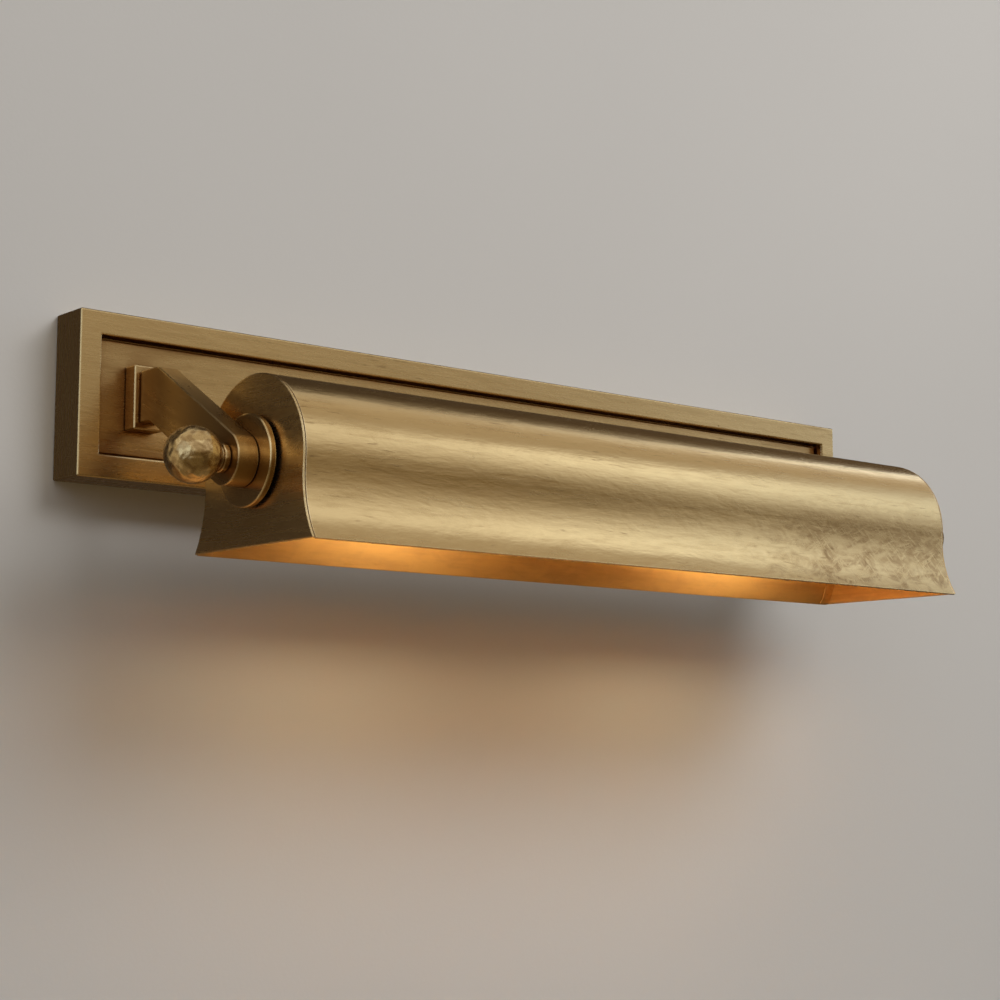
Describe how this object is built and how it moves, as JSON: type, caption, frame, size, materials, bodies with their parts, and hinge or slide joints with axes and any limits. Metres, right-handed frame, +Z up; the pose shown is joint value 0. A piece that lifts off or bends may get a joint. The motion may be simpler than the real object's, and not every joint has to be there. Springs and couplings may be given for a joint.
{
  "type": "picture light",
  "caption": "Wall-mounted brass picture light: a flared trough shade that tilts between two sloping arms with ball-headed clamp knobs, on a long framed backplate.",
  "frame": {"origin": "centre of the backplate's rear face, on the wall, at the middle of the wall bracket", "axes": "+X along the light to the viewer's right, +Y into the wall, +Z up; the light stands out along -Y"},
  "size_m": [0.61, 0.1714, 0.1331],
  "materials": {
    "aged_brass": "brushed lengthwise, aged to a warm brown, with bright worn edges",
    "polished_brass": "polished, with a soft mottled patina",
    "zinc_steel": "zinc plated",
    "black_fibre": "matt black fibre",
    "moulded_thermoset": "moulded, satin gloss",
    "lamp_cap_metal": "rolled thread, bright",
    "lamp_glass": "clear, warm when lit",
    "lead_sheath": "dark brown sheath",
    "earth_sheath": "green sheath",
    "earth_green": "green passivated screw"
  },
  "bodies": {
    "fixture": {"wall_bracket": "zinc_steel", "terminal_block": "moulded_thermoset", "terminal_screw_left": "zinc_steel", "terminal_screw_right": "zinc_steel", "earth_screw": "earth_green", "earth_lead": "earth_sheath", "backplate_frame": "aged_brass", "backplate_panel": "aged_brass", "panel_screw_left_lower": "zinc_steel", "panel_screw_left_upper": "zinc_steel", "panel_screw_right_lower": "zinc_steel", "panel_screw_right_upper": "zinc_steel", "set_screw_left": "zinc_steel", "set_screw_right": "zinc_steel", "arm_base_left": "aged_brass", "arm_base_right": "aged_brass", "arm_left": "aged_brass", "arm_right": "aged_brass", "arm_screw_left_lower": "zinc_steel", "arm_screw_left_upper": "zinc_steel", "arm_screw_right_lower": "zinc_steel", "arm_screw_right_upper": "zinc_steel", "supply_lead_left": "lead_sheath", "supply_lead_right": "lead_sheath", "pivot_disc_left": "aged_brass", "pivot_disc_right": "aged_brass", "friction_washer_left": "black_fibre", "friction_washer_right": "black_fibre"},
    "shade": {"shade_shell": "aged_brass", "end_cap_left": "aged_brass", "end_cap_right": "aged_brass", "pivot_stud_left": "zinc_steel", "pivot_stud_right": "zinc_steel", "stud_lead_left": "lead_sheath", "stud_lead_right": "lead_sheath", "stud_nut_left": "zinc_steel", "stud_nut_right": "zinc_steel", "lampholder_left": "moulded_thermoset", "lampholder_right": "moulded_thermoset"},
    "knob_left": {"knob_left": "polished_brass"},
    "knob_right": {"knob_right": "polished_brass"},
    "lamp_left": {"lamp_cap_left": "lamp_cap_metal", "lamp_glass_left": "lamp_glass"},
    "lamp_right": {"lamp_cap_right": "lamp_cap_metal", "lamp_glass_right": "lamp_glass"}
  },
  "joints": [
    {"name": "shade_tilt", "type": "hinge", "parent": "fixture", "child": "shade", "pos_m": [0, -0.1167, -0.0433], "axis": [1, 0, 0], "range_deg": [-60, 90]},
    {"name": "knob_left_turn", "type": "hinge", "parent": "shade", "child": "knob_left", "pos_m": [-0.2895, -0.1167, -0.0433], "axis": [-1, 0, 0], "range_deg": [0, 360]},
    {"name": "knob_right_turn", "type": "hinge", "parent": "shade", "child": "knob_right", "pos_m": [0.2895, -0.1167, -0.0433], "axis": [1, 0, 0], "range_deg": [0, 360]},
    {"name": "lamp_left_turn", "type": "hinge", "parent": "shade", "child": "lamp_left", "pos_m": [-0.212, -0.1167, -0.0433], "axis": [1, 0, 0], "range_deg": [0, 360]},
    {"name": "lamp_right_turn", "type": "hinge", "parent": "shade", "child": "lamp_right", "pos_m": [0.212, -0.1167, -0.0433], "axis": [-1, 0, 0], "range_deg": [0, 360]}
  ]
}
